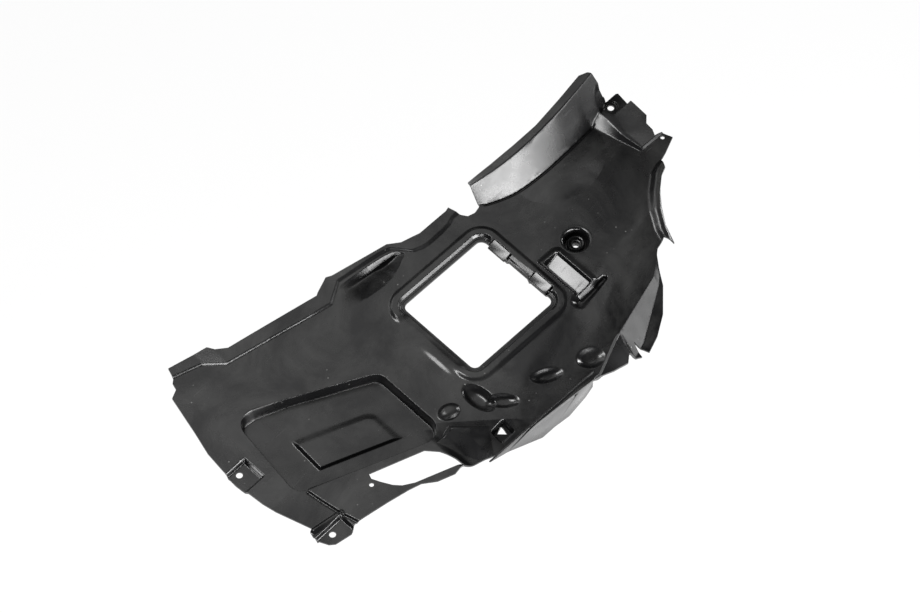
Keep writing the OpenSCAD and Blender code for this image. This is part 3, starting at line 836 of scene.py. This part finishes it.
class LINER_OT_side_wall(bpy.types.Operator):
    """Build the flat wall under the -Y edge"""

    bl_idname = "liner.side_wall"
    bl_label = "Side wall"

    def execute(self, context):
        depth = context.scene.liner_sizes.side_depth
        wall = context.scene.liner_sizes.wall
        outline = [(-84, -1.0), (-55, -0.26 * depth), (2, -depth), (22, -depth), (46, -1.1 * depth),
                   (72, -0.9 * depth), (84, -0.7 * depth), (84, -1.0)]
        flat = bmesh.new()
        prism(flat, outline, 0, wall)
        blank = scratch_object(flat)
        cuts = bmesh.new()
        drill(cuts, (56, -20), context.scene.liner_sizes.small_hole, -5, 10)
        trim(blank, scratch_object(cuts), "DIFFERENCE")
        bm = bmesh.new()
        bm.from_mesh(blank.data)
        bpy.data.objects.remove(blank)
        edges = [e for e in bm.edges if e.calc_face_angle(0) > 0.7]
        bmesh.ops.bevel(bm, geom=edges, offset=0.5, segments=2, profile=0.5, affect="EDGES", material=-1)
        stand = Matrix.Translation((0, SIDE_EDGE[0][1] + wall, 0)) @ Matrix.Rotation(math.pi / 2, 4, "X")
        bmesh.ops.transform(bm, matrix=stand, verts=bm.verts)
        new_piece("side_wall", bm, liner_plastic())
        return {"FINISHED"}


def soft_lamp(name, direction, distance, size, watts, target):
    """An area lamp that looks at the target from a direction and isn't seen by the camera."""
    data = bpy.data.lights.new(name, "AREA")
    data.shape = "RECTANGLE"
    data.size, data.size_y = size
    data.energy = watts
    lamp = bpy.data.objects.new(name, data)
    way = Vector(direction).normalized()
    lamp.location = target + way * distance
    lamp.rotation_euler = way.to_track_quat("Z", "Y").to_euler()
    lamp.visible_camera = False
    bpy.context.scene.collection.objects.link(lamp)


class LINER_OT_stage(bpy.types.Operator):
    """Set up the floor, the lamps, the world and the camera"""

    bl_idname = "liner.stage"
    bl_label = "Stage"

    def execute(self, context):
        finish = context.scene.liner_finish
        cross, down = math.cos(VIEW_AZIMUTH), math.sin(VIEW_ELEVATION)
        look = Vector((-math.sin(VIEW_AZIMUTH) * math.cos(VIEW_ELEVATION), cross * math.cos(VIEW_ELEVATION),
                       -down))
        right = Vector((cross, math.sin(VIEW_AZIMUTH), 0))
        ahead = Vector((-math.sin(VIEW_AZIMUTH), cross, 0))
        shift_x = (PICTURE[0] / 2 - ORIGIN_PIXEL[0]) * MM_PER_PIXEL
        shift_y = (ORIGIN_PIXEL[1] - PICTURE[1] / 2) * MM_PER_PIXEL / down
        aim = PLAN_ORIGIN + (right * shift_x + ahead * shift_y) * MM
        distance = PICTURE[0] * MM_PER_PIXEL * MM * LENS / SENSOR
        data = bpy.data.cameras.new("camera")
        data.lens = LENS
        data.sensor_width = SENSOR
        data.clip_end = 50
        camera = bpy.data.objects.new("camera", data)
        camera.location = aim - look * distance
        camera.rotation_euler = look.to_track_quat("-Z", "Y").to_euler()
        context.scene.collection.objects.link(camera)
        context.scene.camera = camera

        bm = bmesh.new()
        bmesh.ops.create_grid(bm, x_segments=1, y_segments=1, size=12)
        mesh = bpy.data.meshes.new("floor")
        bm.to_mesh(mesh)
        bm.free()
        floor = bpy.data.objects.new("floor", mesh)
        floor.location = (0, 0, -0.8)
        context.scene.collection.objects.link(floor)
        pale = bpy.data.materials.new("pale_floor")
        pale.use_nodes = True
        nodes, links = pale.node_tree.nodes, pale.node_tree.links
        diffuse = nodes["Principled BSDF"]
        diffuse.inputs["Base Color"].default_value = (*finish.floor, 1)
        diffuse.inputs["Roughness"].default_value = 0.9
        path = nodes.new("ShaderNodeLightPath")
        seen = combine(nodes, links, "MAXIMUM", path.outputs["Is Camera Ray"], path.outputs["Is Glossy Ray"])
        also = combine(nodes, links, "MAXIMUM", seen, path.outputs["Is Transmission Ray"])
        share = nodes.new("ShaderNodeMath")
        share.operation = "MULTIPLY"
        share.inputs[1].default_value = 0.88
        links.new(also, share.inputs[0])
        glow = nodes.new("ShaderNodeEmission")
        blend = nodes.new("ShaderNodeMixShader")
        links.new(share.outputs["Value"], blend.inputs["Fac"])
        links.new(diffuse.outputs["BSDF"], blend.inputs[1])
        links.new(glow.outputs["Emission"], blend.inputs[2])
        links.new(blend.outputs["Shader"], nodes["Material Output"].inputs["Surface"])
        mesh.materials.append(pale)

        world = bpy.data.worlds.new("studio")
        world.use_nodes = True
        nodes, links = world.node_tree.nodes, world.node_tree.links
        background = nodes["Background"]
        background.inputs["Color"].default_value = (0.06, 0.06, 0.06, 1)
        path = nodes.new("ShaderNodeLightPath")
        white = nodes.new("ShaderNodeBackground")
        white.inputs["Color"].default_value = (1, 1, 1, 1)
        mixed = nodes.new("ShaderNodeMixShader")
        links.new(path.outputs["Is Camera Ray"], mixed.inputs["Fac"])
        links.new(background.outputs["Background"], mixed.inputs[1])
        links.new(white.outputs["Background"], mixed.inputs[2])
        links.new(mixed.outputs["Shader"], nodes["World Output"].inputs["Surface"])
        context.scene.world = world

        sheen = aim - right * 0.28 - ahead * 0.11
        soft_lamp("key", (-0.36, 0.27, 0.89), 2.4, (0.95, 0.75), 40, aim)
        soft_lamp("sheen", (0.354, 0.354, 0.866), 0.9, (0.90, 0.72), 1.75, sheen)
        soft_lamp("front", (-0.10, -0.985, 0.12), 1.5, (1.2, 0.36), 35, aim + Vector((0.16, 0.05, 0)))
        soft_lamp("front_right", (0.42, -0.90, 0.12), 1.5, (0.45, 0.3), 2.5, aim + Vector((0.16, 0.05, 0)))
        soft_lamp("near", (-0.72, -0.69, 0.10), 1.5, (0.7, 0.2), 16, aim)
        soft_lamp("left", (-0.92, 0.354, -0.10), 1.2, (0.5, 0.3), 5, aim)
        soft_lamp("right", (0.95, -0.25, 0.08), 1.3, (0.4, 0.2), 7, aim + Vector((0.15, 0, 0)))
        soft_lamp("east", (0.71, -0.70, -0.10), 1.2, (0.4, 0.3), 1.3, aim + Vector((0.25, -0.1, 0)))
        soft_lamp("band", (0.40, 0.14, 0.90), 1.6, (0.3, 0.3), 0.55, aim + Vector((0.35, -0.1, 0)))
        soft_lamp("back", (-0.1, 0.86, 0.5), 2.2, (1.4, 0.5), 6, aim)
        low_wall = PLAN_ORIGIN + Vector((0, SIDE_EDGE[0][1], -25)) * MM
        soft_lamp("low", (0.354, -0.354, -0.866), 0.7, (0.5, 0.3), 0.35, low_wall)
        context.scene.view_settings.view_transform = "Standard"
        return {"FINISHED"}


class LINER_PT_panel(bpy.types.Panel):
    bl_idname = "LINER_PT_panel"
    bl_label = "Wheel arch liner"
    bl_space_type = "VIEW_3D"
    bl_region_type = "UI"
    bl_category = "Liner"

    def draw(self, context):
        layout = self.layout
        for group in (context.scene.liner_sizes, context.scene.liner_finish):
            for name in group.__annotations__:
                layout.prop(group, name)
        for operator in OPERATORS:
            layout.operator(operator.bl_idname)


OPERATORS = (LINER_OT_stage, LINER_OT_sheet, LINER_OT_screw_cup, LINER_OT_hinge_lugs, LINER_OT_side_wall)
CLASSES = (LinerSizes, LinerFinish, *OPERATORS, LINER_PT_panel)


def register():
    for cls in CLASSES:
        bpy.utils.register_class(cls)
    bpy.types.Scene.liner_sizes = bpy.props.PointerProperty(type=LinerSizes)
    bpy.types.Scene.liner_finish = bpy.props.PointerProperty(type=LinerFinish)


def unregister():
    del bpy.types.Scene.liner_finish
    del bpy.types.Scene.liner_sizes
    for cls in reversed(CLASSES):
        bpy.utils.unregister_class(cls)


def main():
    register()
    bpy.ops.liner.stage()
    bpy.ops.liner.sheet()
    bpy.ops.liner.screw_cup()
    bpy.ops.liner.hinge_lugs()
    bpy.ops.liner.side_wall()


if __name__ == "__main__":
    main()
